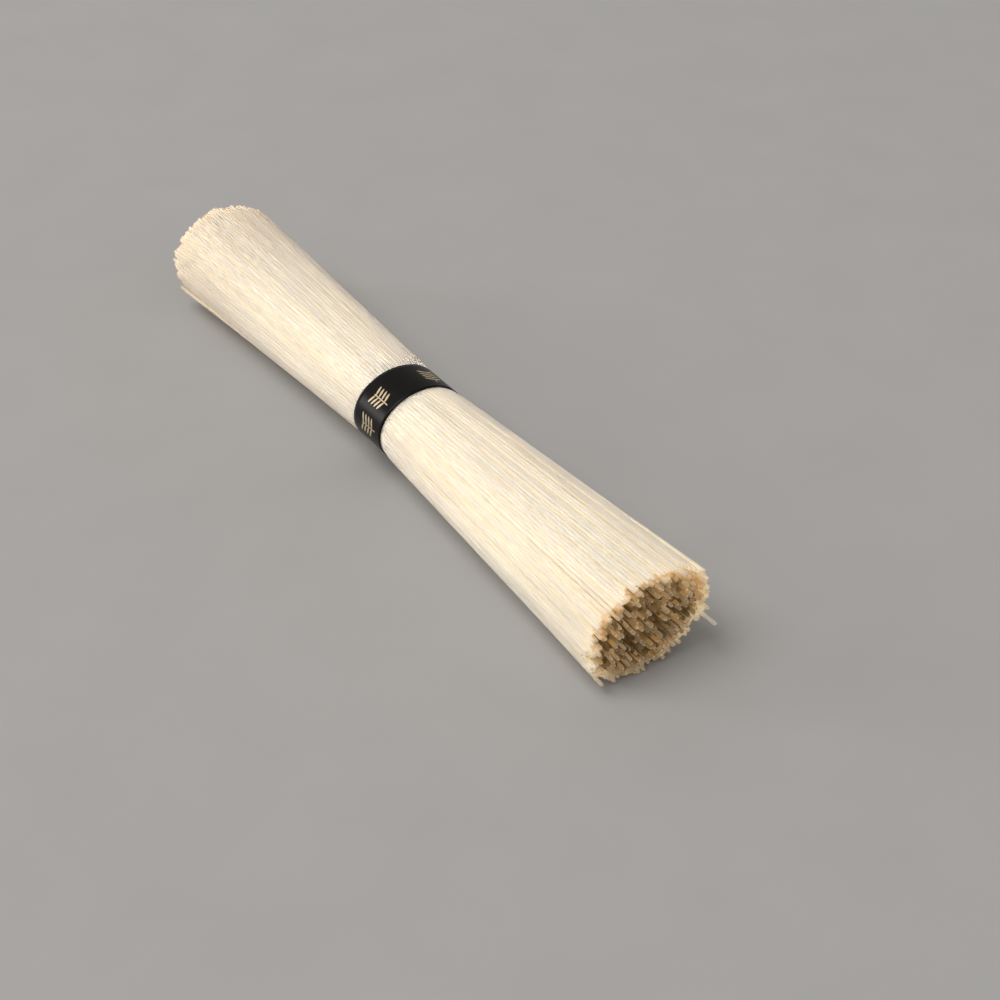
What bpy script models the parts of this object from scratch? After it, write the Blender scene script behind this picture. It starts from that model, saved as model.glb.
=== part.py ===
"""A bundle of dried somen: straight thin noodles held at mid-length by one paper band, lying flat.

The noodles are gripped in a slightly flattened round by the band and fan out to both ends. One
end stays nearly round, the other has slumped to a wide, low oval that leans to one side. The
bundle rests on the bottom of its two ends. Lengths are metres, +X runs along the noodles and +Z
is up. An angle round the bundle is measured from +Y towards +Z.
"""

import math
import random
from collections import namedtuple

import bmesh
import bpy
from mathutils import Matrix, Vector

# One noodle
NOODLE_LENGTH = 0.190
NOODLE_RADIUS = 0.0004

# An oval cross-section. Its lean turns its wide side up towards +Y, and its raise is the height
# of its middle above the middle of the band.
Oval = namedtuple("Oval", "half_width half_height lean raise_")

# The paper band, round the middle of the noodles
BAND = Oval(0.0119, 0.0098, 0.0, 0.0)
BAND_WIDTH = 0.0122
BAND_THICKNESS = 0.0003
BAND_CLEARANCE = 0.0003
BAND_LAP = math.radians(50)
BAND_LAP_MIDDLE = math.radians(-65)
BAND_HEIGHT = 0.0122
BAND_STEPS = 72

# The bundle's outline: one oval under the band and one at each end
GRIP = BAND_THICKNESS + BAND_CLEARANCE
HELD = Oval(BAND.half_width - GRIP, BAND.half_height - GRIP, 0.0, 0.0)
ROUND_END = Oval(0.0155, 0.0134, 0.0, 0.0007)
SLUMPED_END = Oval(0.0164, 0.0115, math.radians(17), -0.0007)
SHOULDER_RUN = 0.0026
SHOULDER_SHARE = 0.12

# The bottom is pressed almost flat, and planed this deep so that it rests on two flat spots.
FLOOR_SOFTNESS = 0.15
RESTING_CUT = 0.00007

# Neither end face is quite square. At its crest, at an angle round the bundle, the noodles reach
# this far past their mean length, or fall this far short of it.
Crest = namedtuple("Crest", "angle reach")
ROUND_CREST = Crest(math.radians(130), 0.0013)
SLUMPED_CREST = Crest(math.radians(118), -0.0011)

# The noodles that show along the outside
OUTER_COUNT = 76
BUNCHES = 13
BUNCHING = 0.35
END_DRIFT = 0.30
END_LIFT = 0.00025
LENGTH_SPREAD = 0.0008
MOST_LENGTH_SPREAD = 0.0016

# Noodles that stand off the rest: the angle round the bundle in degrees, the end (-1 or 1),
# how far the tip stands out from the outline, and how far it reaches past the others
STRAYS = (
    (212, -1, 0.0012, 0.0015),
    (160, -1, 0.0003, 0.0013),
    (-23, 1, 0.0001, 0.0052),
    (-13, 1, 0.0002, 0.0015),
    (38, 1, 0.0007, 0.0008),
    (215, 1, 0.0006, 0.0022),
)

# The solid core and the noodle ends that stand out of its two faces
CORE_SIDES = 38
CORE_RECESS = 0.0042
CORE_DEPTH = 0.00029
STUB_SPACING = 0.0029
STUB_SIDES = 5
STUB_ROOT = 0.0012

RANDOM_SEED = 19


def clear_scene():
    for thing in list(bpy.data.objects):
        bpy.data.objects.remove(thing, do_unlink=True)


def make_collection(name):
    collection = bpy.data.collections.new(name)
    bpy.context.scene.collection.children.link(collection)
    return collection


def make_material(name, colour, roughness, metallic=0.0):
    material = bpy.data.materials.new(name)
    material.use_nodes = True
    principled = material.node_tree.nodes["Principled BSDF"]
    principled.inputs["Base Color"].default_value = (*colour, 1.0)
    principled.inputs["Roughness"].default_value = roughness
    principled.inputs["Metallic"].default_value = metallic
    return material


def object_from_bmesh(bm, name, collection):
    mesh = bpy.data.meshes.new(name)
    bmesh.ops.recalc_face_normals(bm, faces=bm.faces)
    bm.to_mesh(mesh)
    bm.free()
    thing = bpy.data.objects.new(name, mesh)
    collection.objects.link(thing)
    return thing


def mesh_from_curve(curve_object, name, collection):
    """Turns a curve object into a closed mesh object and removes the curve."""
    bpy.context.view_layer.update()
    evaluated = curve_object.evaluated_get(bpy.context.evaluated_depsgraph_get())
    mesh = bpy.data.meshes.new_from_object(evaluated)
    bm = bmesh.new()
    bm.from_mesh(mesh)
    bpy.data.meshes.remove(mesh)
    bmesh.ops.remove_doubles(bm, verts=bm.verts, dist=1e-6)
    thing = object_from_bmesh(bm, name, collection)
    thing.matrix_world = curve_object.matrix_world
    bpy.data.objects.remove(curve_object, do_unlink=True)
    return thing


# The bundle's outline


def opening(x):
    """How far the bundle has opened out at x: 0 under the band, 1 at the ends."""
    beyond = max(0.0, abs(x) - BAND_WIDTH / 2)
    shoulder = min(1.0, beyond / SHOULDER_RUN)
    along = beyond / (NOODLE_LENGTH / 2 - BAND_WIDTH / 2)
    return SHOULDER_SHARE * shoulder + (1 - SHOULDER_SHARE) * along


def lie_on_floor(z, lowest):
    """Presses what would sink below the floor almost flat."""
    return z if z > lowest else lowest + FLOOR_SOFTNESS * (z - lowest)


def oval_point(oval, angle, depth):
    """A point this deep inside an oval's rim, from the oval's middle."""
    across = (oval.half_width - depth) * math.cos(angle - oval.lean)
    above = (oval.half_height - depth) * math.sin(angle - oval.lean)
    return Matrix.Rotation(oval.lean, 3, "X") @ Vector((0, across, above))


def outline_point(x, angle, depth, lowest=NOODLE_RADIUS):
    """A point of the cross-section at x, this deep inside the outline."""
    end = ROUND_END if x < 0 else SLUMPED_END
    point = oval_point(HELD, angle, depth).lerp(oval_point(end, angle, depth), opening(x))
    # The middle line runs straight through the band, so it ignores the shoulder.
    middle = BAND_HEIGHT + end.raise_ * abs(x) / (NOODLE_LENGTH / 2)
    return Vector((x, point.y, lie_on_floor(middle + point.z, lowest)))


# The noodle bundle


def make_core(collection):
    """The solid middle of the bundle, which the outer noodles are sunk into by half."""
    edge = BAND_WIDTH / 2
    half = (edge, edge + SHOULDER_RUN, NOODLE_LENGTH / 2 - CORE_RECESS)
    angles = [2 * math.pi * (side + 0.5) / CORE_SIDES for side in range(CORE_SIDES)]
    bm = bmesh.new()
    rings = []
    for x in [-distance for distance in reversed(half)] + list(half):
        rings.append([bm.verts.new(outline_point(x, angle, CORE_DEPTH)) for angle in angles])
    for ring, following in zip(rings, rings[1:]):
        for side in range(CORE_SIDES):
            after = (side + 1) % CORE_SIDES
            bm.faces.new((ring[side], ring[after], following[after], following[side]))
    bm.faces.new(rings[0])
    bm.faces.new(rings[-1])
    return object_from_bmesh(bm, "noodle_bundle", collection)


def make_noodle(points, collection):
    """One noodle along a few points, as a six-sided rod."""
    curve = bpy.data.curves.new("noodle", "CURVE")
    curve.dimensions = "3D"
    curve.bevel_depth = NOODLE_RADIUS
    curve.bevel_resolution = 1
    curve.use_fill_caps = True
    spline = curve.splines.new("POLY")
    spline.points.add(len(points) - 1)
    for place, point in zip(spline.points, points):
        place.co = (*point, 1.0)
    curve_object = bpy.data.objects.new("noodle_path", curve)
    collection.objects.link(curve_object)
    return mesh_from_curve(curve_object, "noodle", collection)


def stray_at(angle, side):
    """How far the noodle at this angle stands out and reaches past the others at one end."""
    for degrees, end, lift, reach in STRAYS:
        away = math.remainder(angle - math.radians(degrees), 2 * math.pi)
        if end == side and abs(away) < math.pi / OUTER_COUNT:
            return lift, reach
    return None


def noodle_half(angle, side, draw):
    """The points of an outer noodle from the band's edge to one end, side -1 or 1."""
    pitch = 2 * math.pi / OUTER_COUNT
    bunched = BUNCHING * pitch * math.sin(BUNCHES * angle + side)
    drift = bunched + END_DRIFT * pitch * draw.uniform(-1, 1)
    slant = crest_reach(math.cos(angle), math.sin(angle), side)
    lift, reach = stray_at(angle, side) or (END_LIFT * draw.random(), slant + uneven_length(draw))
    edge = BAND_WIDTH / 2
    tip = NOODLE_LENGTH / 2 + reach
    points = []
    for distance in (edge, edge + SHOULDER_RUN, tip):
        share = (distance - edge) / (tip - edge)
        depth = NOODLE_RADIUS - lift * share**2
        points.append(outline_point(side * distance, angle + drift * share, depth))
    return points


def crest_reach(across, above, side):
    """How far noodles reach past the mean length, at a place in shares of the end's half sizes."""
    crest = ROUND_CREST if side < 0 else SLUMPED_CREST
    towards_crest = across * math.cos(crest.angle) + above * math.sin(crest.angle)
    return crest.reach * max(0.0, towards_crest) ** 2


def uneven_length(draw):
    """How far a noodle's tip is past the mean length, or short of it."""
    reach = draw.gauss(0.0, LENGTH_SPREAD)
    return max(-MOST_LENGTH_SPREAD, min(MOST_LENGTH_SPREAD, reach))


def make_outer_noodles(collection, draw):
    for number in range(OUTER_COUNT):
        angle = 2 * math.pi * number / OUTER_COUNT
        towards_start = noodle_half(angle, -1, draw)
        towards_end = noodle_half(angle, 1, draw)
        make_noodle(towards_start[::-1] + towards_end, collection)


def make_stub(x, y, z, reach, side, draw, collection):
    """The end of one inner noodle, standing out of the core's face at x."""
    length = CORE_RECESS + reach + uneven_length(draw) + STUB_ROOT
    bm = bmesh.new()
    bmesh.ops.create_cone(
        bm, cap_ends=True, segments=STUB_SIDES, radius1=NOODLE_RADIUS, radius2=NOODLE_RADIUS, depth=length
    )
    turn = Matrix.Rotation(draw.uniform(0, 2 * math.pi), 4, "Z")
    lay_down = Matrix.Rotation(side * math.pi / 2, 4, "Y")
    place = Matrix.Translation((x + side * (length / 2 - STUB_ROOT), y, z))
    bmesh.ops.transform(bm, matrix=place @ lay_down @ turn, verts=bm.verts)
    object_from_bmesh(bm, "stub", collection)


def make_stubs(collection, draw):
    """Noodle ends over both faces of the core, on a triangular grid with each place shifted a little."""
    row_height = STUB_SPACING * math.sqrt(3) / 2
    rows = math.ceil(SLUMPED_END.half_width / row_height)
    for side, end in ((-1, ROUND_END), (1, SLUMPED_END)):
        x = side * (NOODLE_LENGTH / 2 - CORE_RECESS)
        middle = outline_point(x, 0.0, 0.0).z
        for row in range(-rows, rows + 1):
            for column in range(-rows, rows + 1):
                y = STUB_SPACING * (column + 0.5 * (row % 2)) + STUB_SPACING * draw.uniform(-0.22, 0.22)
                z = middle + row_height * row + STUB_SPACING * draw.uniform(-0.22, 0.22)
                if inside_face(x, y, z, 3.2 * NOODLE_RADIUS):
                    reach = crest_reach(y / end.half_width, (z - middle) / end.half_height, side)
                    make_stub(x, y, z, reach, side, draw, collection)


def inside_face(x, y, z, margin):
    """Whether a point lies inside the cross-section at x by at least this margin."""
    middle = outline_point(x, 0.0, 0.0).z
    angle = math.atan2(z - middle, y)
    for _ in range(4):
        # An oval's angle isn't the direction from its middle, so it is found in a few steps.
        rim = outline_point(x, angle, margin)
        angle += math.remainder(math.atan2(z - middle, y) - math.atan2(rim.z - middle, rim.y), 2 * math.pi)
    rim = outline_point(x, angle, margin)
    return math.hypot(y, z - middle) < math.hypot(rim.y, rim.z - middle)


def fuse(body, collection):
    """Joins every object of the collection to the body, and removes them."""
    union = body.modifiers.new("noodles", "BOOLEAN")
    union.operation = "UNION"
    union.operand_type = "COLLECTION"
    union.collection = collection
    union.solver = "MANIFOLD"
    apply_modifiers(body)
    for thing in list(collection.objects):
        bpy.data.objects.remove(thing, do_unlink=True)
    bpy.data.collections.remove(collection)


def apply_modifiers(thing):
    bpy.context.view_layer.update()
    evaluated = thing.evaluated_get(bpy.context.evaluated_depsgraph_get())
    mesh = bpy.data.meshes.new_from_object(evaluated)
    thing.modifiers.clear()
    old = thing.data
    thing.data = mesh
    bpy.data.meshes.remove(old)


def keep_one_body(thing):
    """Drops loose scraps, and fills sealed hollows by dropping the faces around them."""
    bm = bmesh.new()
    bm.from_mesh(thing.data)
    left = set(bm.verts)
    bodies = []
    while left:
        found = {left.pop()}
        edge_of_search = list(found)
        while edge_of_search:
            vert = edge_of_search.pop()
            for edge in vert.link_edges:
                other = edge.other_vert(vert)
                if other not in found:
                    found.add(other)
                    edge_of_search.append(other)
        left -= found
        bodies.append(found)
    bodies.sort(key=len)
    print(f"{thing.name}: {len(bodies) - 1} scraps or hollows dropped")
    for body in bodies[:-1]:
        bmesh.ops.delete(bm, geom=list(body), context="VERTS")
    bm.to_mesh(thing.data)
    bm.free()


def make_floor_cutter(collection):
    """A slab that planes the two resting spots flat."""
    bm = bmesh.new()
    bmesh.ops.create_cube(bm, size=1.0)
    bmesh.ops.scale(bm, vec=(1.2 * NOODLE_LENGTH, 3 * SLUMPED_END.half_width, 0.004), verts=bm.verts)
    bmesh.ops.translate(bm, vec=(0, 0, RESTING_CUT - 0.002), verts=bm.verts)
    cutter = object_from_bmesh(bm, "floor_cutter", collection)
    cutter.hide_render = True
    cutter.display_type = "WIRE"
    return cutter


def make_noodle_bundle(parts, cutters, draw):
    body = make_core(parts)
    pieces = make_collection("noodles")
    make_outer_noodles(pieces, draw)
    make_stubs(pieces, draw)
    fuse(body, pieces)
    planing = body.modifiers.new("resting_spots", "BOOLEAN")
    planing.operation = "DIFFERENCE"
    planing.object = make_floor_cutter(cutters)
    planing.solver = "MANIFOLD"
    apply_modifiers(body)
    keep_one_body(body)
    body.data.materials.clear()
    body.data.materials.append(make_material("noodle", (0.92, 0.80, 0.60), 0.6))
    return body


# The paper band


def band_outline(curve, depth_at):
    spline = curve.splines.new("POLY")
    spline.points.add(BAND_STEPS - 1)
    spline.use_cyclic_u = True
    for number, place in enumerate(spline.points):
        angle = 2 * math.pi * number / BAND_STEPS
        point = oval_point(BAND, angle, depth_at(angle))
        place.co = (point.y, point.z, 0.0, 1.0)


def lap_depth(angle):
    """The outside of the paper stands one thickness further out where its two ends overlap."""
    from_lap = abs(math.remainder(angle - BAND_LAP_MIDDLE, 2 * math.pi))
    return -BAND_THICKNESS if from_lap < BAND_LAP / 2 else 0.0


def make_paper_band(parts):
    """A strip of paper round the bundle, its ends glued together in a lap on the underside."""
    curve = bpy.data.curves.new("band_outline", "CURVE")
    curve.dimensions = "2D"
    curve.fill_mode = "BOTH"
    curve.extrude = BAND_WIDTH / 2
    band_outline(curve, lap_depth)
    band_outline(curve, lambda angle: BAND_THICKNESS)
    outline = bpy.data.objects.new("band_outline", curve)
    parts.objects.link(outline)
    band = mesh_from_curve(outline, "paper_band", parts)
    # The outline's X and Y become Y and Z, and its thickness runs along X.
    band.data.transform(Matrix(((0, 0, 1, 0), (1, 0, 0, 0), (0, 1, 0, 0), (0, 0, 0, 1))))
    band.location = (0, 0, BAND_HEIGHT)
    band.data.materials.append(make_material("band_paper", (0.018, 0.016, 0.018), 0.5))
    return band


def stand_on_origin(things):
    """Parents the parts to an empty and moves it, so that the origin is under the middle of the bundle."""
    bpy.context.view_layer.update()
    corners = [thing.matrix_world @ vertex.co for thing in things for vertex in thing.data.vertices]
    lowest = Vector([min(corner[axis] for corner in corners) for axis in range(3)])
    highest = Vector([max(corner[axis] for corner in corners) for axis in range(3)])
    holder = bpy.data.objects.new("bundle", None)
    things[0].users_collection[0].objects.link(holder)
    for thing in things:
        thing.parent = holder
    middle = (lowest + highest) / 2
    holder.location = (-middle.x, -middle.y, -lowest.z)


def shade(thing):
    thing.data.shade_smooth()
    thing.data.set_sharp_from_angle(angle=math.radians(35))


def main():
    clear_scene()
    parts = make_collection("somen_bundle")
    cutters = make_collection("cutters")
    draw = random.Random(RANDOM_SEED)
    noodles = make_noodle_bundle(parts, cutters, draw)
    band = make_paper_band(parts)
    stand_on_origin([noodles, band])
    for thing in (noodles, band):
        shade(thing)
        print(thing.name, len(thing.data.polygons), "faces")


main()
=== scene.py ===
# %% [markdown]
# # A bundle of dried somen
# Several hundred straight, hair-thin wheat noodles are gathered into a bundle and held by one
# paper band. The band grips the middle, so both ends fan out. The bundle lies on its side:
# one end has stayed nearly round, and the other has slumped into a low, leaning oval.
#
# This lesson dresses the solid model of that bundle. The noodles are grown one by one with
# Geometry Nodes, the band becomes a strip of paper wrapped once round them, and both get
# materials built from nodes.

# %% Load the solid model as the frame
import math

import bpy
from mathutils import Matrix, Vector, noise


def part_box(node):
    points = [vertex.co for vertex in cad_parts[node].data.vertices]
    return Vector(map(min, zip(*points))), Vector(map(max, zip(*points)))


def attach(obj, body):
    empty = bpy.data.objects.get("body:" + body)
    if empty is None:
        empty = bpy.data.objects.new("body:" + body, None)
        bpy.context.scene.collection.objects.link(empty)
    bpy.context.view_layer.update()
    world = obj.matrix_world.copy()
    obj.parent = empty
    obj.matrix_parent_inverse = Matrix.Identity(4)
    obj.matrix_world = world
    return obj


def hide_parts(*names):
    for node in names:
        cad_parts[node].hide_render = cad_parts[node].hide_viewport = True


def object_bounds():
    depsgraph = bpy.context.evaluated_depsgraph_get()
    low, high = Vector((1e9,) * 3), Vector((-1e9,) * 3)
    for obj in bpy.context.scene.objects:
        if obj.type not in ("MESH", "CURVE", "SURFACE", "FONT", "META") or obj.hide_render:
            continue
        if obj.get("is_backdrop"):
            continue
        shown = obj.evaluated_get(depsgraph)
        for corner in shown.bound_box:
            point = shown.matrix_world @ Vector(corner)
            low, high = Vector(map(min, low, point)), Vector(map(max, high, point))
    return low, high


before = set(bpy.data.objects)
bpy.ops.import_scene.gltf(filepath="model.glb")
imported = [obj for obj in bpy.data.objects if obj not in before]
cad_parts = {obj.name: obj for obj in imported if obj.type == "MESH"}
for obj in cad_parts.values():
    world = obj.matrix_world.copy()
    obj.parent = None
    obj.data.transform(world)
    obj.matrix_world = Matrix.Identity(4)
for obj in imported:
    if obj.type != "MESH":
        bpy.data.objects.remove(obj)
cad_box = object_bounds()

MM = 0.001


def size_in_mm(box):
    """How long, wide and high a box is."""
    low, high = box
    return " x ".join(f"{(end - start) / MM:.1f}" for start, end in zip(low, high)) + " mm"


print(f"the solid model is {size_in_mm(cad_box)}")

# %% [markdown]
# ## Measuring what is already there
# Nothing is placed by eye. The solid band is an oval ring round the X axis, so its box gives
# the middle of the bundle, the band's width and how wide the oval is. The paper overlaps
# itself underneath, which makes the ring thicker there, so the oval's height is stated here
# and its middle is found from the top down.

# %% Read the band's place and size
BAND_HALF_HEIGHT = 9.8 * MM
band_low, band_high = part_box("paper_band")
BAND_HALF_ACROSS = (band_high.y - band_low.y) / 2
BAND_HALF_WIDTH = (band_high.x - band_low.x) / 2
BAND_MIDDLE = Vector((
    (band_low.x + band_high.x) / 2,
    (band_low.y + band_high.y) / 2,
    band_high.z - BAND_HALF_HEIGHT,
))
print(f"band {2 * BAND_HALF_ACROSS / MM:.1f} mm across, {2 * BAND_HALF_WIDTH / MM:.1f} mm wide")

# %% [markdown]
# ## Writing node maths as Python
# Geometry Nodes and shaders both do arithmetic with Math nodes. Wiring dozens of them by hand
# hides the formula. A small class that wraps one output socket and overloads the operators
# lets a formula be read as a formula: each operator adds the node that it stands for.


# %% A socket that takes part in arithmetic
class Value:
    """One output of a node."""

    def __init__(self, graph, output):
        self.graph, self.output = graph, output

    def maths(self, operation, *others):
        return self.graph.maths(operation, self, *others)

    def other(self, name):
        """Another output of the same node."""
        return Value(self.graph, shown(self.output.node.outputs, name))

    def __add__(self, other):
        return self.maths("ADD", other)

    def __sub__(self, other):
        return self.maths("SUBTRACT", other)

    def __mul__(self, other):
        return self.maths("MULTIPLY", other)

    def __truediv__(self, other):
        return self.maths("DIVIDE", other)

    def __pow__(self, other):
        return self.maths("POWER", other)

    def __abs__(self):
        return self.maths("ABSOLUTE")

    def __rsub__(self, other):
        return self.graph.maths("SUBTRACT", other, self)

    __radd__ = __add__
    __rmul__ = __mul__

    def sine(self):
        return self.maths("SINE")

    def cosine(self):
        return self.maths("COSINE")

    def above(self, other):
        """1 where this value is the greater, else 0."""
        return self.maths("GREATER_THAN", other)

    def at_most(self, other):
        return self.maths("MINIMUM", other)

    def at_least(self, other):
        return self.maths("MAXIMUM", other)

    def towards(self, end, share):
        """This value at share 0 and the other at share 1."""
        return self + (end - self) * share

    def ramp(self, start, end):
        """0 up to the start, 1 from the end on, and smooth between them."""
        settings = {"interpolation_type": "SMOOTHSTEP"}
        inputs = {"Value": self, "From Min": start, "From Max": end}
        return self.graph.node("ShaderNodeMapRange", settings, inputs)


def shown(sockets, name):
    """The socket with this name or number, of those that the node's settings leave on."""
    if isinstance(name, int):
        return sockets[name]
    return next(socket for socket in sockets if socket.name == name and socket.enabled)


# %% A node tree that is written down
class Graph:
    """A node tree that gets every node through one method."""

    def __init__(self, tree):
        self.tree = tree

    def node(self, kind, settings=None, inputs=None):
        """Adds a node, then its settings, then its values and links. Gives its first output."""
        made = self.tree.nodes.new(kind)
        for name, setting in (settings or {}).items():
            setattr(made, name, setting)
        for name, given in (inputs or {}).items():
            socket = shown(made.inputs, name)
            if isinstance(given, Value):
                self.tree.links.new(given.output, socket)
            else:
                socket.default_value = given
        return Value(self, next((output for output in made.outputs if output.enabled), None))

    def maths(self, operation, *values):
        return self.node("ShaderNodeMath", {"operation": operation}, dict(enumerate(values)))

    def split(self, vector):
        """The X of a vector. Its Y and Z are other outputs of the same node."""
        return self.node("ShaderNodeSeparateXYZ", inputs={"Vector": vector})

    def join(self, **sides):
        """A vector from its X, Y and Z."""
        return self.node("ShaderNodeCombineXYZ", inputs=sides)


class Here:
    """What a point knows about itself, each fact under a name of its own."""

    def __init__(self, **facts):
        self.__dict__.update(facts)


# %% [markdown]
# ## What dried noodle dough looks like
# Dried somen is flour, water and salt. It is cream and not white, matt, and translucent, and
# light that has been through it comes out golden. That is why the grooves between the noodles
# look pale yellow instead of grey. Subsurface scattering gives this glow. Of Blender's
# methods, random walk follows the light inside one noodle, while Christensen-Burley gathers
# it from all surface nearby, so the light also crosses from one noodle to the next. Here the
# second is the better likeness.
#
# What is the same all over the material is set on the shader itself. Only what changes from
# place to place is worked out by nodes.


# %% A material and its graph
class ShaderGraph(Graph):
    """A material's node tree."""

    def place(self):
        """Where the point is, in the object's own coordinates."""
        return self.node("ShaderNodeTexCoord").other("Object")

    def normal(self):
        return self.node("ShaderNodeNewGeometry").other("Normal")

    def vector(self, operation, *sides):
        return self.node("ShaderNodeVectorMath", {"operation": operation}, dict(enumerate(sides)))

    def outward(self):
        """How squarely the surface faces away from the bundle's middle line: 0 on a flank."""
        away = self.vector("SUBTRACT", self.place(), (0.0, BAND_MIDDLE.y, BAND_MIDDLE.z))
        away = self.vector("NORMALIZE", self.vector("MULTIPLY", away, (0.0, 1.0, 1.0)))
        return self.vector("DOT_PRODUCT", away, self.normal()).other("Value")

    def attribute(self, name):
        return self.node("ShaderNodeAttribute", {"attribute_name": name}).other("Fac")

    def grain(self, vector, scale, detail=2.0, stretch=(1.0, 1.0, 1.0)):
        """A noise of this many lumps per metre, stretched where a factor is below 1."""
        stretched = self.node("ShaderNodeMapping", inputs={"Vector": vector, "Scale": stretch})
        inputs = {"Vector": stretched, "Scale": scale, "Detail": detail}
        return self.node("ShaderNodeTexNoise", inputs=inputs)

    def blend(self, share, start, end):
        """A colour between two others, each a link or three numbers."""
        sides = [side if isinstance(side, Value) else (*side, 1.0) for side in (start, end)]
        inputs = {"Factor": share, "A": sides[0], "B": sides[1]}
        return self.node("ShaderNodeMix", {"data_type": "RGBA"}, inputs)

    def relief(self, height, depth):
        """A normal that follows a height from 0 to 1, this deep."""
        return self.node("ShaderNodeBump", inputs={"Height": height, "Distance": depth})

    def feed(self, principled, **links):
        for socket, value in links.items():
            self.tree.links.new(value.output, principled.inputs[socket.replace("_", " ")])


def new_material(name, **constants):
    """A material, its graph and its Principled shader, with the constants set on the shader."""
    material = bpy.data.materials.new(name)
    material.use_nodes = True
    principled = material.node_tree.nodes["Principled BSDF"]
    for socket, constant in constants.items():
        principled.inputs[socket.replace("_", " ")].default_value = constant
    return material, ShaderGraph(material.node_tree), principled


# %% [markdown]
# No two noodles have quite the same tone. A noise laid over the whole bundle would run across
# them, so each noodle carries facts about itself as attributes, and the material reads these:
# its tone, how near the tip a point is, how deep in the bundle the noodle lies, how far it
# stands out of the end face, whether it is sunk between others, and which half a point is on.
#
# The streaks that hand-pulled dough has are a noise that is read along X and by tone. So they
# are long, and each noodle has its own.

# %% What the dough reads at each point
STREAKS_PER_METRE, SPECKS_PER_METRE = 60.0, 5200.0
DOUGH_FACTS = ("tone", "tip", "depth", "standing", "sunken", "dusty")


def read_dough(graph):
    here = Here(**{name: graph.attribute(name) for name in DOUGH_FACTS})
    place = graph.place()
    x = graph.split(place)
    here.height = x.other("Z")
    here.streak = graph.grain(graph.join(X=x, Y=here.tone), STREAKS_PER_METRE, 3.0)
    here.specks = graph.grain(place, SPECKS_PER_METRE)
    # The flanks of the rods line the grooves, where a glow is painted.
    # A surface that faces along X was broken off.
    here.groove = 1.0 - graph.outward().ramp(0.15, 0.8)
    here.cut_face = abs(graph.split(graph.normal())).ramp(0.5, 0.9)
    return here


# %% [markdown]
# Along the bundle the noodles run from cream to pale cream. The slumped half is painted paler
# towards its tips, as painted light. The flanks of the grooves, and the noodles that are sunk
# between others, get a painted golden glow for the light that comes through the dough. Pale
# streaks of flour lie over that, and last the round half is painted beige towards its tips, as
# painted shade. The colours are laid over each other in that order, like glazes, each with its
# own strength.

# %% The colour along a noodle
CREAM, PALE_CREAM, PAINTED_SHADE_BEIGE = (0.86, 0.79, 0.70), (0.90, 0.84, 0.77), (0.77, 0.655, 0.54)
FLOUR_AND_PAINTED_LIGHT, GLOW_GOLD = (0.98, 0.92, 0.83), (0.98, 0.85, 0.62)
PAINTED_LIGHT_SHARE, GROOVE_GLOW_SHARE, SUNKEN_GLOW_SHARE, STREAKED, PAINTED_SHADE_SHARE = 0.9, 0.7, 0.6, 0.3, 0.5


def colour_along(graph, here):
    colour = graph.blend(here.tone, CREAM, PALE_CREAM)
    # Painted light: the slumped half is paler towards its tips.
    colour = graph.blend(here.dusty.at_least(0.0) * PAINTED_LIGHT_SHARE, colour, FLOUR_AND_PAINTED_LIGHT)
    # Painted glow: golden on the grooves' flanks and on the sunken noodles.
    painted_glow = (here.groove * GROOVE_GLOW_SHARE).at_least(here.sunken * SUNKEN_GLOW_SHARE)
    colour = graph.blend(painted_glow, colour, GLOW_GOLD)
    colour = graph.blend(here.streak.ramp(0.45, 0.75) * STREAKED, colour, FLOUR_AND_PAINTED_LIGHT)
    # Painted shade: the round half is beige towards its tips.
    return graph.blend((0.0 - here.dusty).ramp(0.45, 1.0) * PAINTED_SHADE_SHARE, colour, PAINTED_SHADE_BEIGE)


# %% [markdown]
# The broken ends are another matter. Light reaches the ones in the middle only through the
# dough, so their shade is painted into the end face: the deeper a noodle's end lies, the more
# it turns to a patchwork of dark, pale and warm honey, a little less near the top. The more a
# noodle stands out, and the paler its own tone, the paler that painted shade. The broken faces
# follow, from dark crumb to chalky white: partly their own colour, and deeper in, painted shade
# as well. Round the rim a painted amber glow, for light through the outer row, lies on some of
# the upper tips just under that row, and the lowest tips are painted browner, as painted shade.

# %% The colour of the ends
AMBER = (0.76, 0.48, 0.22)
HONEY, PALE_HONEY, WARM_HONEY = (0.18, 0.12, 0.055), (0.68, 0.55, 0.38), (0.66, 0.43, 0.20)
CRUMB, PALE_CRUMB = (0.17, 0.11, 0.05), (1.0, 0.85, 0.69)
UPPER_HEIGHTS, LOWER_HEIGHTS = (8.0 * MM, 16.0 * MM), (1.0 * MM, 7.0 * MM)
INSIDE_DEPTHS, DEEPER_ABOVE = (0.05, 0.28), 0.09
PAINTED_SHADE_LOW, LEAST_AMBER, MORE_AMBER, LEAST_CRUMB, MORE_CRUMB = 0.8, 0.25, 0.7, 0.2, 0.65


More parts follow.
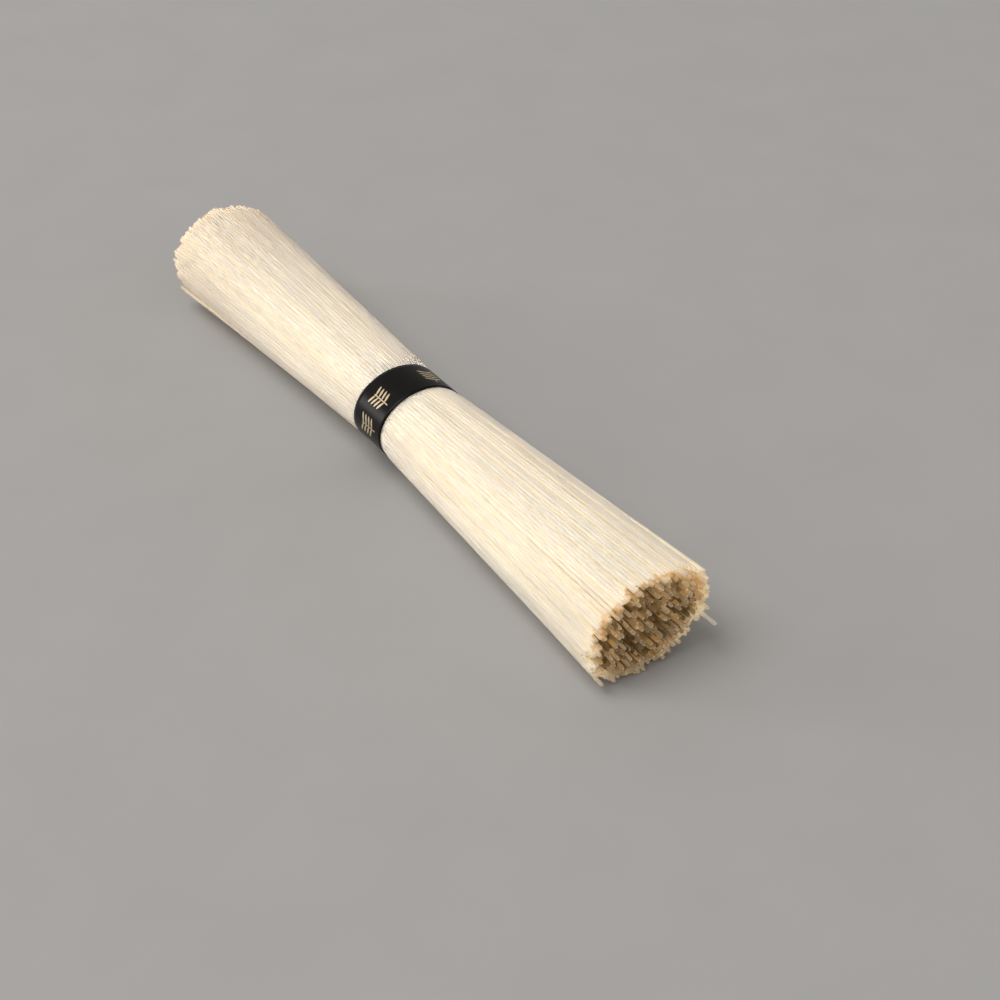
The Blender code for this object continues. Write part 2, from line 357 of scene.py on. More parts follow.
def colour_ends(graph, here, colour):
    # How far a noodle stands out stands in for light on its end; its tone is its own.
    pale_by_tone_and_light = (here.standing * 0.6 + here.tone * 0.4).ramp(0.25, 0.8)
    warm = here.streak.ramp(0.42, 0.58)
    upper = here.height.ramp(*UPPER_HEIGHTS)
    low_shade = 1.0 - here.height.ramp(*LOWER_HEIGHTS)
    # Painted shade: the lowest tips turn browner.
    colour = graph.blend(here.tip * low_shade * PAINTED_SHADE_LOW, colour, PALE_HONEY)
    # Painted glow: amber on the upper tips just under the outer row.
    under_outer_row = here.depth.ramp(0.0, 0.1)
    glow = here.tip * under_outer_row * upper * (LEAST_AMBER + warm * MORE_AMBER)
    colour = graph.blend(glow, colour, AMBER)
    # Painted shade: the deeper a noodle's end, the darker its honey, a little less near the top.
    shaded_inside = (here.depth - upper * DEEPER_ABOVE).ramp(*INSIDE_DEPTHS)
    shaded_honey = graph.blend(pale_by_tone_and_light, HONEY, graph.blend(warm, PALE_HONEY, WARM_HONEY))
    colour = graph.blend(shaded_inside, colour, shaded_honey)
    # The broken faces: their own crumb colour, with painted shade added deeper in.
    crumb_and_shade = graph.blend(pale_by_tone_and_light, CRUMB, PALE_CRUMB)
    return graph.blend(here.cut_face * (LEAST_CRUMB + shaded_inside * MORE_CRUMB), colour, crumb_and_shade)


# %% [markdown]
# Light spreads about four millimetres in the dough, which is several noodles, and red gets
# further than blue. That, with the glow painted on the grooves, turns them golden. A rather
# rough surface, and a fine relief of streaks and specks, keep the noodles matt.

# %% The noodles' material
GLOW_REACH = 4.2 * MM
GLOW_BY_COLOUR = (1.0, 0.9, 0.65)
DOUGH_RELIEF = 0.04 * MM


def make_noodle_dough():
    material, graph, principled = new_material(
        "dry_noodle_dough",
        Subsurface_Weight=1.0,
        Subsurface_Radius=GLOW_BY_COLOUR,
        Subsurface_Scale=GLOW_REACH,
        Specular_IOR_Level=0.2,
    )
    principled.subsurface_method = "BURLEY"
    here = read_dough(graph)
    graph.feed(
        principled,
        Base_Color=colour_ends(graph, here, colour_along(graph, here)),
        Roughness=0.5 + here.streak * 0.2 + here.tip * 0.15,
        Normal=graph.relief(here.streak * 0.7 + here.specks * 0.3, DOUGH_RELIEF),
    )
    return material


noodle_dough = make_noodle_dough()
print(f"the dough is made of {len(noodle_dough.node_tree.nodes)} nodes")

# %% [markdown]
# ## How noodles pack, and how they fan out
# Round rods gathered by hand pack in rings: one in the middle, then 6, 12, 18 and so on.
# Thirteen rings of them fit under the band. From the band each noodle runs almost straight to
# both ends, where the whole cross-section is an oval of its own.
#
# The way round the oval is a third longer at the ends than under the band. The outer noodles
# don't spread evenly over it, which would leave a gap beside each. They stay together in
# threes, and one noodle from underneath rises between two threes, so the outside stays closed
# all the way. These risers are numbered after the rings, and their tips end a little short.

# %% Count the noodles
NOODLE_RADIUS = 0.4 * MM
HALF_LENGTH = 95.0 * MM
RINGS = 13
IN_RINGS = 1 + 3 * RINGS * (RINGS + 1)
IN_A_GROUP = 3
RISERS = 6 * RINGS // IN_A_GROUP
NOODLE_COUNT = IN_RINGS + RISERS
print(f"{NOODLE_COUNT} noodles, {RISERS} of them risers")

# %% [markdown]
# Several hundred noodles that follow a rule call for Geometry Nodes. One plain line is copied
# once for each noodle, and every point is then moved to where the rule puts it. An array
# could copy the line too, but it can't give each copy a course of its own.
#
# The rule's sizes are listed first. The paper and a hair of room under it are taken off the
# band's oval, which leaves the oval that the noodles are held in. Each end has an oval, a lean
# and a raise or a sag of its own. Neither end face is quite square: towards its crest, which
# is an angle round the bundle, the noodles of the round end reach further, and those of the
# slumped end fall short.

# %% The sizes of the bundle
PAPER = 0.12 * MM
GRIP = PAPER + 0.03 * MM

BUNDLE = {
    "Noodle Radius": NOODLE_RADIUS,
    "Half Length": HALF_LENGTH,
    "Band Edge": BAND_HALF_WIDTH,
    "Held Half Width": BAND_HALF_ACROSS - GRIP,
    "Held Half Height": BAND_HALF_HEIGHT - GRIP,
    "Held Lean": 0.0,
    "Shoulder Run": 2.6 * MM,
    "Shoulder Share": 0.06,
    "Round Half Width": 15.5 * MM,
    "Round Half Height": 13.4 * MM,
    "Round Lean": 0.0,
    "Round Raise": 0.7 * MM,
    "Round Crest": math.radians(130),
    "Round Slant": 1.3 * MM,
    "Slumped Half Width": 16.4 * MM,
    "Slumped Half Height": 11.5 * MM,
    "Slumped Lean": math.radians(17),
    "Slumped Raise": -0.7 * MM,
    "Slumped Crest": math.radians(118),
    "Slumped Slant": -1.1 * MM,
    "Riser Depth": 0.06,
    "Riser Shortfall": 1.2 * MM,
    "Crowding": 0.35,
    "Looseness": 0.3 * MM,
    "Gathering": 0.25,
    "Bunching": 0.08,
    "Drift": 0.06,
    "Inner Drift": 0.40,
    "Lift": 0.06 * MM,
    "Bow": 0.12 * MM,
    "Length Spread": 0.5 * MM,
    "Clumping": 5.0 * MM,
    "Clumps per Metre": 420.0,
    "Standing Out": 2.4 * MM,
    "Seed": 19,
    "Dough": noodle_dough,
}
print(f"{len(BUNDLE)} named inputs")

# %% [markdown]
# ## One tree, many named sizes
# A Geometry Nodes tree is like a drawing whose dimensions are left open. Each size is a named
# input of the tree, and the modifier fills it in. A modifier knows its inputs by identifier
# and not by name, so each value is set through the identifier of its socket, before the tree
# first runs. The result is then turned into a plain mesh, which keeps no modifier.


# %% Build a Geometry Nodes tree and run it
def place_in_scene(name, data):
    thing = bpy.data.objects.new(name, data)
    bpy.context.scene.collection.objects.link(thing)
    return thing


class Pattern(Graph):
    """A Geometry Nodes tree with named inputs for its sizes."""

    SOCKETS = {
        float: "NodeSocketFloat",
        int: "NodeSocketInt",
        bpy.types.Material: "NodeSocketMaterial",
    }

    def __init__(self, name, sizes):
        super().__init__(bpy.data.node_groups.new(name, "GeometryNodeTree"))
        self.sizes = sizes
        self.identifiers = {}
        self.add_socket("Geometry", "INPUT", "NodeSocketGeometry")
        self.add_socket("Geometry", "OUTPUT", "NodeSocketGeometry")
        for size_name, size in sizes.items():
            socket = self.add_socket(size_name, "INPUT", self.SOCKETS[type(size)])
            self.identifiers[size_name] = socket.identifier
        self.given = self.tree.nodes.new("NodeGroupInput")

    def add_socket(self, name, in_out, kind):
        return self.tree.interface.new_socket(name, in_out=in_out, socket_type=kind)

    def size(self, name):
        return Value(self, self.given.outputs[name])

    def run(self, name, start, geometry):
        """Ends the tree, runs it on the start mesh, and gives the result as a plain object."""
        self.node("NodeGroupOutput", inputs={"Geometry": geometry})
        rough = place_in_scene(name, start)
        modifier = rough.modifiers.new(name, "NODES")
        modifier.node_group = self.tree
        for size_name, size in self.sizes.items():
            modifier[self.identifiers[size_name]] = size
        evaluated = rough.evaluated_get(bpy.context.evaluated_depsgraph_get())
        mesh = bpy.data.meshes.new_from_object(evaluated)
        bpy.data.objects.remove(rough, do_unlink=True)
        return place_in_scene(name, mesh)


# %% [markdown]
# The plain line needs points only where a noodle bends: at the band's edge, just past it,
# twice on the way for a slight bow, and close to the tip, where it thins so that the tip is
# blunt and not sharp-edged. The thickness travels in the Y coordinate.

# %% The line that every noodle starts as
BENDS = [(BAND_HALF_WIDTH + past * MM, 1.0) for past in (0.0, 1.3, 2.6, 30.0, 60.0)]
TIP = [(HALF_LENGTH - 0.25 * MM, 1.0), (HALF_LENGTH, 0.6)]


def make_plain_noodle():
    stations = BENDS + TIP
    points = [(-x, thickness, 0.0) for x, thickness in reversed(stations)]
    points += [(x, thickness, 0.0) for x, thickness in stations]
    mesh = bpy.data.meshes.new("plain_noodle")
    mesh.from_pydata(points, [(number, number + 1) for number in range(len(points) - 1)], [])
    return mesh


plain_noodle = make_plain_noodle()
STATIONS = len(plain_noodle.vertices)
print(f"{STATIONS} points along each noodle")

# %% [markdown]
# ## The rule, in pieces
# Each name below is a field: a number that every point works out for itself. A point's index
# gives its noodle's number, and its X on the plain line tells how far along it is. The bundle
# opens in two steps: a short, steep shoulder just past the band, then an even fan.


# %% Which noodle a point is on, and how far along it
def find_place(pattern):
    size = pattern.size
    index = pattern.node("GeometryNodeInputIndex")
    plain = pattern.split(pattern.node("GeometryNodeInputPosition"))
    here = Here(number=((index + 0.5) / float(STATIONS)).maths("FLOOR"))
    here.from_middle, here.blunting = abs(plain), plain.other("Y")
    here.end = plain.above(0.0)
    here.side = here.end * 2.0 - 1.0
    beyond = (here.from_middle - size("Band Edge")).at_least(0.0)
    here.along = beyond / (size("Half Length") - size("Band Edge"))
    shoulder = (beyond / size("Shoulder Run")).at_most(1.0)
    here.opening = here.along.towards(shoulder, size("Shoulder Share"))
    return here


# %% [markdown]
# A noodle's number gives its ring, because the rings before ring k hold 3k(k-1)+1 noodles.
# Solving that for k needs one square root. Each ring is turned against the one inside it, so
# that the noodles don't line up in spokes. A riser stands midway between the last noodle of
# one three and the first of the next, which is five sixths of the way from riser to riser.

# %% Which ring, and where in it
RING_TURN = 1.7
RISER_TURN = 5 / 6 * math.tau / RISERS
FLATNESS = (BAND_HALF_ACROSS - BAND_HALF_HEIGHT) / (BAND_HALF_ACROSS + BAND_HALF_HEIGHT)


def ring_of(number):
    """The ring that a noodle belongs to: 0 for the one in the middle."""
    return (((number * 12.0 + 9.0) ** 0.5 - 3.0) / 6.0 - 0.0001).maths("CEIL")


def find_ring(here):
    """The ring, the layer from 0 in the middle to 1 outside, and the angle round the bundle."""
    here.ring = ring_of(here.number)
    here.layer = (here.ring / float(RINGS)).at_most(1.0)
    here.riser = here.ring.above(RINGS + 0.5)
    here.outer = here.ring.above(RINGS - 0.5) - here.riser
    here.per_ring = (here.ring * 6.0).at_least(1.0).towards(RISERS, here.riser)
    here.place_in_ring = here.number - 3.0 * here.ring * (here.ring - 1.0) - 1.0
    turned = here.ring.at_most(RINGS) * RING_TURN
    angle = here.place_in_ring / here.per_ring * math.tau + turned + here.riser * RISER_TURN
    # On an oval, equal steps of the angle leave uneven gaps. A double wave evens them out.
    here.angle = angle + FLATNESS / 2 * (angle * 2.0).sine()


# %% [markdown]
# Random numbers come from one helper. The same seed, stream and noodle give the same number,
# so every point of a noodle agrees on it. Each use has a stream of its own, or a noodle that
# is thick would always be pale as well. Adding several waves of the angle makes neighbouring
# noodles drift the same way, which is what bunches them. In the end faces, a soft noise does
# the same for how far they reach.

# %% Chance, bunches and clumps
DRIFTING, LIFTING, SHORT_OR_LONG, CUT, LOOSENING, BOW_Y, BOW_Z, THICKNESS, TONE = range(1, 10)
BROAD_BUNCHES, NARROW_BUNCHES = 13.0, 31.0


def draw(pattern, stream, identity, low=-1.0, high=1.0):
    inputs = {"Min": low, "Max": high, "ID": identity, "Seed": pattern.size("Seed") + stream}
    return pattern.node("FunctionNodeRandomValue", {"data_type": "FLOAT"}, inputs)


def bunching(here):
    broad = (here.angle * BROAD_BUNCHES + here.ring * 0.9 + here.side * 2.0).sine()
    narrow = (here.angle * NARROW_BUNCHES + here.ring * 0.5 - here.side).sine()
    return broad * 0.6 + narrow * 0.4


def clump(pattern, here):
    """A soft noise over the end face, about -0.5 to 0.5."""
    out, angle = here.layer * pattern.size("Round Half Width"), here.spread_angle
    spot = pattern.join(X=here.side, Y=out * angle.cosine(), Z=out * angle.sine())
    inputs = {"Vector": spot, "Scale": pattern.size("Clumps per Metre"), "Detail": 1.0}
    return pattern.node("ShaderNodeTexNoise", inputs=inputs) - 0.5


# %% [markdown]
# On its way from the band to the end a noodle drifts round the bundle a little: the outer row
# into its threes, and all of them by their bunch and by chance. The two halves of a noodle
# drift apart from each other, so they draw their own random numbers.


# %% How far round a noodle drifts
def drift_round(pattern, here):
    size = pattern.size
    here.half_noodle = here.number * 2.0 + here.end
    in_group = here.place_in_ring.maths("FLOORED_MODULO", float(IN_A_GROUP))
    gathered = here.outer * (1.0 - in_group) * size("Gathering")
    wander = size("Inner Drift").towards(size("Drift"), here.outer + here.riser)
    by_chance = draw(pattern, DRIFTING, here.half_noodle) * wander
    drift = gathered + bunching(here) * size("Bunching") + by_chance
    places = here.per_ring.at_least(6.0 * here.ring.at_most(RINGS))
    here.spread_angle = here.angle + drift * math.tau / places


# %% [markdown]
# A few noodles stand off from the rest. The eye catches these first, so they are named one by
# one: the angle round the bundle, the end, how far the tip stands out and how far it reaches
# past its neighbours.

# %% The strays
HALF_A_PLACE = math.pi / (6 * RINGS)
STRAYS = (
    # degrees, end, standing out, reaching past
    (212, -1, 1.2 * MM, 1.5 * MM),
    (160, -1, 0.3 * MM, 1.3 * MM),
    (-23, 1, 0.1 * MM, 5.2 * MM),
    (-13, 1, 0.2 * MM, 1.5 * MM),
    (38, 1, 0.7 * MM, 0.8 * MM),
    (215, 1, 0.6 * MM, 2.2 * MM),
)
print(f"{len(STRAYS)} strays")


def send_astray(here):
    """Gives the strays their own lift and reach in place of the ordinary ones."""
    for degrees, stray_side, stray_lift, stray_reach in STRAYS:
        away = abs((here.angle - math.radians(degrees)).maths("WRAP", math.pi, -math.pi))
        nearest = here.outer * (1.0 - away.above(HALF_A_PLACE))
        picked = nearest * (here.side * stray_side).above(0.0)
        here.lift = here.lift.towards(stray_lift, picked)
        here.reach = here.reach.towards(stray_reach, picked)


# %% [markdown]
# Cutting leaves the end of a bundle ragged: each noodle is a little longer or shorter than
# the next, and clumps of them reach further together. How far a noodle stands out by that is
# kept for its colour. The slant of the face, the risers' shortfall and the strays come after.


# %% How far a noodle reaches, and how far it lifts off
def at_end(pattern, here, name):
    """The round end's size on one half of the bundle, and the slumped end's on the other."""
    return pattern.size(f"Round {name}").towards(pattern.size(f"Slumped {name}"), here.end)


def reach_out(pattern, here):
    size, half_noodle = pattern.size, here.half_noodle
    here.lift = draw(pattern, LIFTING, half_noodle) * size("Lift")
    uneven = draw(pattern, SHORT_OR_LONG, half_noodle) + draw(pattern, CUT, half_noodle)
    reach = uneven * size("Length Spread") + clump(pattern, here) * size("Clumping")
    here.standing = (reach / size("Standing Out") + 0.5).at_least(0.0).at_most(1.0)
    from_crest = here.spread_angle - at_end(pattern, here, "Crest")
    slanted = (from_crest.cosine().at_least(0.0) * here.layer) ** 2.0
    reach = reach + slanted * at_end(pattern, here, "Slant")
    here.reach = reach - here.riser * size("Riser Shortfall")
    send_astray(here)


# %% [markdown]
# Two ovals give a noodle's place in the cross-section: the one that the band holds, and the
# one at the end. In the second, the layers crowd towards the outside, because a loose end
# falls open in the middle. In between, the noodle goes from one place to the other.


# %% From the held oval to the oval at the end
def on_oval(half_width, half_height, lean, angle):
    """Y and Z of the point at this angle, from the oval's middle."""
    across = half_width * (angle - lean).cosine()
    above = half_height * (angle - lean).sine()
    return (
        across * lean.cosine() - above * lean.sine(),
        across * lean.sine() + above * lean.cosine(),
    )


def across_the_bundle(pattern, here):
    """Y and Z from the band's middle."""
    size, layer, inset = pattern.size, here.layer, pattern.size("Noodle Radius")
    half_width, half_height = size("Held Half Width") - inset, size("Held Half Height") - inset
    held = on_oval(half_width, half_height, size("Held Lean"), here.angle)
    end_inset = inset - here.lift * here.along
    half_width, half_height, lean = (
        at_end(pattern, here, name) for name in ("Half Width", "Half Height", "Lean")
    )
    spread = on_oval(half_width - end_inset, half_height - end_inset, lean, here.spread_angle)
    loose = draw(pattern, LOOSENING, here.half_noodle) * size("Looseness") * (1.0 - layer)
    crowded = layer * (1.0 + size("Crowding") * (1.0 - layer))
    end_layer = crowded + loose / size("Round Half Width")
    held_layer = layer - here.riser * size("Riser Depth")
    bow = (here.along * math.pi).sine() * size("Bow")

    def between(held_side, spread_side, stream):
        straight = (held_side * held_layer).towards(spread_side * end_layer, here.opening)
        return straight + bow * draw(pattern, stream, here.half_noodle)

    return between(held[0], spread[0], BOW_Y), between(held[1], spread[1], BOW_Z)


# %% [markdown]
# What would sink into the floor is pressed up onto it. A small part of the depth is kept, so
# that the noodles below don't all end up in one plane. The noodles are drawn a little thicker
# than they are, because real ones are pressed together and leave no gaps.

# %% Where a point goes
THINNEST, THICKEST = 1.08, 1.20
FLOOR_SOFTNESS = 0.06


def new_place(pattern, here):
    size = pattern.size
    y, z = across_the_bundle(pattern, here)
    x = here.side * (here.from_middle + here.along * here.reach)
    raised = at_end(pattern, here, "Raise") * here.from_middle / size("Half Length")
    z = z + BAND_MIDDLE.z + raised
    sunk = (size("Noodle Radius") * THICKEST - z).at_least(0.0)
    z = z + sunk * (1.0 - FLOOR_SOFTNESS)
    return pattern.join(X=x + BAND_MIDDLE.x, Y=y + BAND_MIDDLE.y, Z=z)


# %% [markdown]
# ## Growing the noodles
# Now the pieces of the rule are put together. The facts that the dough reads are stored on
# the points at the same time, and travel with them into the mesh.

# %% Lay out the noodles
TIP_PART = 22.0  # the tip is the last of this many parts of the way from the band


def copy_plain_line(pattern):
    line = pattern.node("GeometryNodeMeshToCurve", inputs={"Mesh": pattern.size("Geometry")})
    starts = pattern.node("GeometryNodePoints", inputs={"Count": NOODLE_COUNT})
    inputs = {"Points": starts, "Instance": line}
    copies = pattern.node("GeometryNodeInstanceOnPoints", inputs=inputs)
    return pattern.node("GeometryNodeRealizeInstances", inputs={"Geometry": copies})


def store(pattern, geometry, **values):
    """Keeps fields on the points as named attributes."""
    for name, value in values.items():
        settings = {"data_type": "FLOAT", "domain": "POINT"}
        inputs = {"Geometry": geometry, "Name": name, "Value": value}
        geometry = pattern.node("GeometryNodeStoreNamedAttribute", settings, inputs)
    return geometry


def lay_out_noodles(pattern):
    here = find_place(pattern)
    find_ring(here)
    drift_round(pattern, here)
    reach_out(pattern, here)
    lines = store(
        pattern,
        copy_plain_line(pattern),
        thickness=here.blunting * draw(pattern, THICKNESS, here.number, THINNEST, THICKEST),
        tone=draw(pattern, TONE, here.number, 0.0, 1.0),
        tip=(here.along * TIP_PART - (TIP_PART - 1.0)).at_least(0.0),
        depth=1.0 - here.layer,
        sunken=here.riser,
        dusty=here.along * here.side,
        standing=here.standing,
    )
    inputs = {"Geometry": lines, "Position": new_place(pattern, here)}
    return pattern.node("GeometryNodeSetPosition", inputs=inputs)


# %% [markdown]
# Sweeping a circle along each line turns it into a rod. Seven sides are enough, because the
# shading is smooth and a noodle is under a millimetre thick, and the whole bundle stays near
# a hundred thousand triangles. The sides meet at 51 degrees and the rim of the blunt tip at
# 57. An edge counts as sharp above 55 degrees, so the rod looks round and its rim crisp.

# %% Turn the lines into rods
NOODLE_SIDES = 7
SHARP_FROM = math.radians(55)


def grow_noodles():
    pattern = Pattern("noodle_rows", BUNDLE)
    lines = lay_out_noodles(pattern)
    circle = {"Resolution": NOODLE_SIDES, "Radius": pattern.size("Noodle Radius")}
    circle = pattern.node("GeometryNodeCurvePrimitiveCircle", inputs=circle)
    kind, inputs = {"data_type": "FLOAT"}, {"Name": "thickness"}
    thickness = pattern.node("GeometryNodeInputNamedAttribute", kind, inputs)
    swept = {"Curve": lines, "Profile Curve": circle, "Scale": thickness, "Fill Caps": True}
    rods = pattern.node("GeometryNodeCurveToMesh", inputs=swept)
    rods = pattern.node("GeometryNodeRealizeInstances", inputs={"Geometry": rods})
    dressed = {"Geometry": rods, "Material": pattern.size("Dough")}
    dressed = pattern.node("GeometryNodeSetMaterial", inputs=dressed)
    return pattern.run("noodles", plain_noodle, dressed)


noodles = grow_noodles()
noodles.data.shade_smooth()
noodles.data.set_sharp_from_angle(angle=SHARP_FROM)
noodles.data.calc_loop_triangles()
print(f"noodles: {len(noodles.data.loop_triangles)} triangles")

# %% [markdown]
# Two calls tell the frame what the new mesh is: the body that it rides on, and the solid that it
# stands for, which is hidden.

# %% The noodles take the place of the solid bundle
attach(noodles, "root")
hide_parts("noodle_bundle")

# %% [markdown]
# ## The paper band
# On the real bundle this is one strip of satin black paper, drawn tight round the noodles,
# with its outer end glued over its inner end on the underside. The solid model has a ring
# there. A ring could be cut from a tube, but it would have no ends. This strip starts and
# ends like the real one: it is laid down step by step along the oval, and its last stretch
# climbs onto its first. A soft noise dents it slightly where the noodles below it are uneven,
# and lets its edges wander by a few hundredths of a millimetre.

# %% Where a point of the strip lies
LAP, LAP_MIDDLE = math.radians(50), math.radians(-65)
STRIP_START, STRIP_TURN = LAP_MIDDLE - LAP / 2, math.tau + LAP
CLIMB_DEGREES, CLIMB_BEFORE_LAP = 8, 0.75
ON_TOP = PAPER + 0.03 * MM
DENT, TIGHTNESS = 0.06, 0.02  # in millimetres
DENTS_ROUND, DENTS_ACROSS, WANDERS_ROUND = 1.7, 0.8, 3.0
DENT_PLACE, WANDER_PLACE = 3.0, 9.0  # far enough apart in the noise to have nothing in common
EDGE_WANDER = 0.05 * MM


def climb(angle):
    """0 where the strip lies on the noodles, and 1 where it lies on its own first stretch."""
    past_start = math.degrees(angle - STRIP_START - math.tau)
    return min(max(past_start / CLIMB_DEGREES + CLIMB_BEFORE_LAP, 0.0), 1.0)


def strip_point(angle, across):
    """The point of the strip at this angle, across from -1 to 1."""
    y, z = math.cos(angle), math.sin(angle)
    place = (DENTS_ROUND * y, DENTS_ROUND * z, DENTS_ACROSS * across + DENT_PLACE)
    dent = noise.noise(Vector(place))
    wander = noise.noise(Vector((WANDERS_ROUND * y, WANDERS_ROUND * z, WANDER_PLACE)))
    outward = (DENT * dent - TIGHTNESS) * MM + climb(angle) * ON_TOP
    x = across * (BAND_HALF_WIDTH - EDGE_WANDER) + EDGE_WANDER * wander
    y, z = (BAND_HALF_ACROSS + outward) * y, (BAND_HALF_HEIGHT + outward) * z
    return BAND_MIDDLE + Vector((x, y, z))


# %% [markdown]
# Every point keeps how far along and how far across the strip it is, in millimetres. The
# print uses these two numbers, so it follows the paper round the oval.

# %% Wind the strip
WINDING_STEPS, ACROSS_STEPS = 200, 12


def lay_down_strip():
    """The strip's points, row by row, and how far along and across it each of them is."""
    points, along_strip, across_strip = [], [], []
    travelled, last_middle = 0.0, None
    for step in range(WINDING_STEPS + 1):
        angle = STRIP_START + STRIP_TURN * step / WINDING_STEPS
        middle = strip_point(angle, 0.0)
        travelled += (middle - last_middle).length if last_middle else 0.0
        last_middle = middle
        for column in range(ACROSS_STEPS + 1):
            across = 2 * column / ACROSS_STEPS - 1
            points.append(strip_point(angle, across))
            along_strip.append(travelled / MM)
            across_strip.append(across * BAND_HALF_WIDTH / MM)
    print(f"the strip is {travelled / MM:.1f} mm long")
    return points, along_strip, across_strip


def strip_faces():
    row, faces = ACROSS_STEPS + 1, []
    for step in range(WINDING_STEPS):
        for column in range(ACROSS_STEPS):
            corner = step * row + column
            faces.append((corner, corner + 1, corner + row + 1, corner + row))
    return faces


def wind_strip(material):
    points, along_strip, across_strip = lay_down_strip()
    mesh = bpy.data.meshes.new("band_strip")
    mesh.from_pydata(points, [], strip_faces())
    for name, values in (("along_strip", along_strip), ("across_strip", across_strip)):
        mesh.attributes.new(name, "FLOAT", "POINT").data.foreach_set("value", values)
    mesh.materials.append(material)
    mesh.shade_smooth()
    return place_in_scene("band_strip", mesh)


# %% [markdown]
# The print is a row of small ears of wheat in dull gold ink, with one place left bare. An ear
# could be a picture on the strip, but one that is drawn with arithmetic stays sharp however
# near the eye comes. Taking the absolute value folds it along its stem, so both sides are
# equal. Slanting the coordinates turns its grains into a column of equal cells, and the
# fraction of the cell number draws one grain in all of them.

# %% One printed ear of wheat
EAR_SPACING, FIRST_EAR, BARE_PLACE = 7.5, 5.2, 4
GRAIN_ROWS, GRAIN_PITCH, GRAIN_SLANT = 4, 1.25, 0.35
GRAIN_MIDDLE, GRAIN_HALF_LENGTH, GRAIN_HALF_THICKNESS = 1.25, 1.2, 0.36
STEM_HALF_LENGTH, STEM_HALF_THICKNESS, STEM_MIDDLE = 2.9, 0.17, 0.4
EAR_OFF_CENTRE, INK_EDGE = 0.3, 0.06


def draw_ears(graph, ragged):
    """1 on the ink and 0 on bare paper. All the lengths are in millimetres."""
    number = (graph.attribute("along_strip") - FIRST_EAR) / EAR_SPACING
    nearest = number.maths("ROUND")
    side = abs(number - nearest) * EAR_SPACING
    across = graph.attribute("across_strip") - EAR_OFF_CENTRE
    row = (across + side * GRAIN_SLANT) / GRAIN_PITCH + GRAIN_ROWS / 2
    off_grain = abs(row.maths("FRACT") - 0.5) * GRAIN_PITCH
    from_middle = (side - GRAIN_MIDDLE) / GRAIN_HALF_LENGTH
    swelling = (1.0 - from_middle ** 2.0).at_least(0.0) ** 0.5
    in_rows = row.above(0.0) * (1.0 - row.above(float(GRAIN_ROWS)))
    in_grain = swelling * GRAIN_HALF_THICKNESS - off_grain - (1.0 - in_rows)
    to_stem_end = STEM_HALF_LENGTH - abs(across - STEM_MIDDLE)
    in_stem = (STEM_HALF_THICKNESS - side).at_most(to_stem_end)
    printed = abs(nearest - BARE_PLACE).above(0.5)
    return (in_grain.at_least(in_stem) + ragged).ramp(0.0, INK_EDGE) * printed


# %% [markdown]
# The paper is close to black, with faint fibres that run round the band, and satin. The ink
# is a dull gold that is partly metal, lies a hair above the paper and is thin in places.

# %% The band's material
PAPER_BLACK, PAPER_CHARCOAL = (0.002, 0.0018, 0.0017), (0.007, 0.0062, 0.0058)
GOLD_INK = (0.86, 0.71, 0.48)
FIBRES_PER_METRE, FIBRE_STRETCH, BLOTCHES_PER_METRE = 2600.0, (1.0, 0.25, 0.25), 5000.0
INK_RAGGEDNESS, INK_WEAR, INK_METAL = 0.12, 0.35, 0.75
PAPER_ROUGHNESS, INK_ROUGHNESS = 0.28, 0.45
PAPER_RELIEF = 0.02 * MM


def make_band_paper():
    material, graph, principled = new_material("satin_black_paper", Specular_IOR_Level=0.22)
    place = graph.place()
    fibres = graph.grain(place, FIBRES_PER_METRE, 4.0, stretch=FIBRE_STRETCH)
    blotches = graph.grain(place, BLOTCHES_PER_METRE)
    worn = blotches.ramp(0.6, 0.75) * INK_WEAR
    ink = draw_ears(graph, (blotches - 0.5) * INK_RAGGEDNESS) * (1.0 - worn)
    paper = graph.blend(fibres, PAPER_BLACK, PAPER_CHARCOAL)
    graph.feed(
        principled,
        Base_Color=graph.blend(ink, paper, GOLD_INK),
        Metallic=ink * INK_METAL,
        Roughness=(PAPER_ROUGHNESS + fibres * 0.1).towards(INK_ROUGHNESS, ink),
        Normal=graph.relief(fibres * 0.7 + ink * 0.3, PAPER_RELIEF),
    )
    return material


band_strip = wind_strip(make_band_paper())
print(f"{len(band_strip.data.polygons)} faces in the strip")

# %% [markdown]
# So far the strip is a surface. A Solidify modifier gives it the paper's thickness inwards,
# so the outside stays where it was laid.

# %% The strip takes the place of the solid band
paper_thickness = band_strip.modifiers.new("paper thickness", "SOLIDIFY")
paper_thickness.thickness = PAPER
paper_thickness.offset = -1.0
print(f"the paper is {PAPER / MM:.2f} mm thick")

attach(band_strip, "root")
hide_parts("paper_band")

# %% [markdown]
# ## Floor, light and camera
# These aren't part of the bundle. A plain, pale floor takes its shadow and throws a little
# light back up under it. The frame is told that the floor is only a stage.

# %% A pale floor
FLOOR_HALF_SIDE = 3
FLOOR_GREY, PALE_FLOOR_GREY = (0.56, 0.555, 0.55), (0.60, 0.595, 0.59)
FLOOR_LUMPS_PER_METRE = 40.0


def make_floor():
    side = FLOOR_HALF_SIDE
    corners = [(-side, -side, 0), (side, -side, 0), (side, side, 0), (-side, side, 0)]
    mesh = bpy.data.meshes.new("floor")
    mesh.from_pydata(corners, [], [(0, 1, 2, 3)])
    material, graph, principled = new_material("pale_floor", Roughness=0.8)
    grain = graph.grain(graph.place(), FLOOR_LUMPS_PER_METRE)
    graph.feed(principled, Base_Color=graph.blend(grain, FLOOR_GREY, PALE_FLOOR_GREY))
    mesh.materials.append(material)
    return place_in_scene("floor", mesh)


make_floor()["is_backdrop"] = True
print(f"a floor {2 * FLOOR_HALF_SIDE} m square")

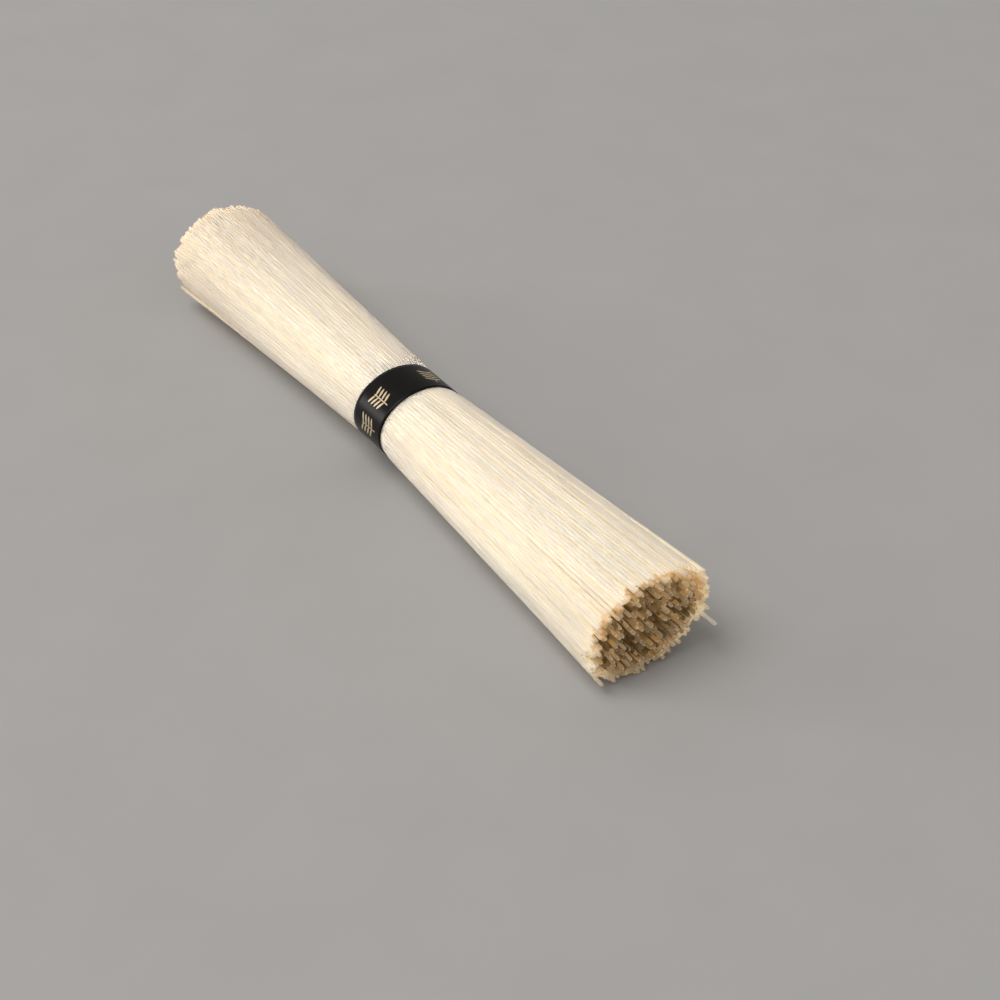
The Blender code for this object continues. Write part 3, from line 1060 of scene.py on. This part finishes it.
# %% [markdown]
# A hard light would draw a black line beside every noodle. One wide light overhead keeps the
# grooves open, and a smaller one, low beside the round end, gives the rods their roundness.
# A weak, warm sky fills the rest. The view transform is Standard, because the others grey
# the cream and lift the black paper.

# %% Soft studio light
LIGHT_DISTANCE, LIGHT_COLOUR = 4.0, (1.0, 0.985, 0.965)
SKY_COLOUR, SKY_STRENGTH = (1.0, 0.96, 0.91, 1.0), 0.3


def make_soft_light(name, towards, size, power):
    data = bpy.data.lights.new(name, "AREA")
    data.shape, data.size, data.energy, data.color = "DISK", size, power, LIGHT_COLOUR
    light = place_in_scene(name, data)
    direction = Vector(towards).normalized()
    light.location = BAND_MIDDLE + direction * LIGHT_DISTANCE
    light.rotation_euler = direction.to_track_quat("Z", "Y").to_euler()
    print(f"{name}: {size} m wide, {power:.0f} W")


make_soft_light("key_light", (-0.21, -0.42, 0.88), 3.2, 66.0)
make_soft_light("side_light", (-0.69, -0.69, 0.24), 1.3, 22.0)

world = bpy.data.worlds.new("studio")
world.use_nodes = True
background = world.node_tree.nodes["Background"].inputs
background["Color"].default_value = SKY_COLOUR
background["Strength"].default_value = SKY_STRENGTH
bpy.context.scene.world = world
bpy.context.scene.view_settings.view_transform = "Standard"

# %% [markdown]
# The camera looks down at the bundle from beside its slumped end. Its place and turn come
# from fitting the band's edges and the bundle's outline, so they are plain numbers: the
# directions that are right and up in the picture, and the lens's place from the band's middle.

# %% The camera
LENS, SENSOR, NEAREST = 67.7, 36.0, 0.01
CAMERA_RIGHT = Vector((0.5626, 0.8267, -0.0041))
CAMERA_UP = Vector((-0.4933, 0.3397, 0.8008))
CAMERA_SPOT = Vector((325.99, -193.88, 256.60)) * MM


def make_camera():
    data = bpy.data.cameras.new("camera")
    data.lens, data.sensor_width, data.clip_start = LENS, SENSOR, NEAREST
    camera = place_in_scene("camera", data)
    turn = Matrix((CAMERA_RIGHT, CAMERA_UP, CAMERA_RIGHT.cross(CAMERA_UP))).transposed()
    camera.matrix_world = Matrix.Translation(BAND_MIDDLE + CAMERA_SPOT) @ turn.to_4x4()
    bpy.context.scene.camera = camera


make_camera()
print(f"the camera is {CAMERA_SPOT.length / MM:.0f} mm from the band's middle")

# %% [markdown]
# ## The dressed bundle's size
# The dressed bundle has to fill the same space as the solid model, or it would not fit where
# the solid one does. Its size is printed in millimetres, like the solid model's at the start.

# %% Print the dressed bundle's size
seen_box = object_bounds()
print(f"the dressed bundle is {size_in_mm(seen_box)}")
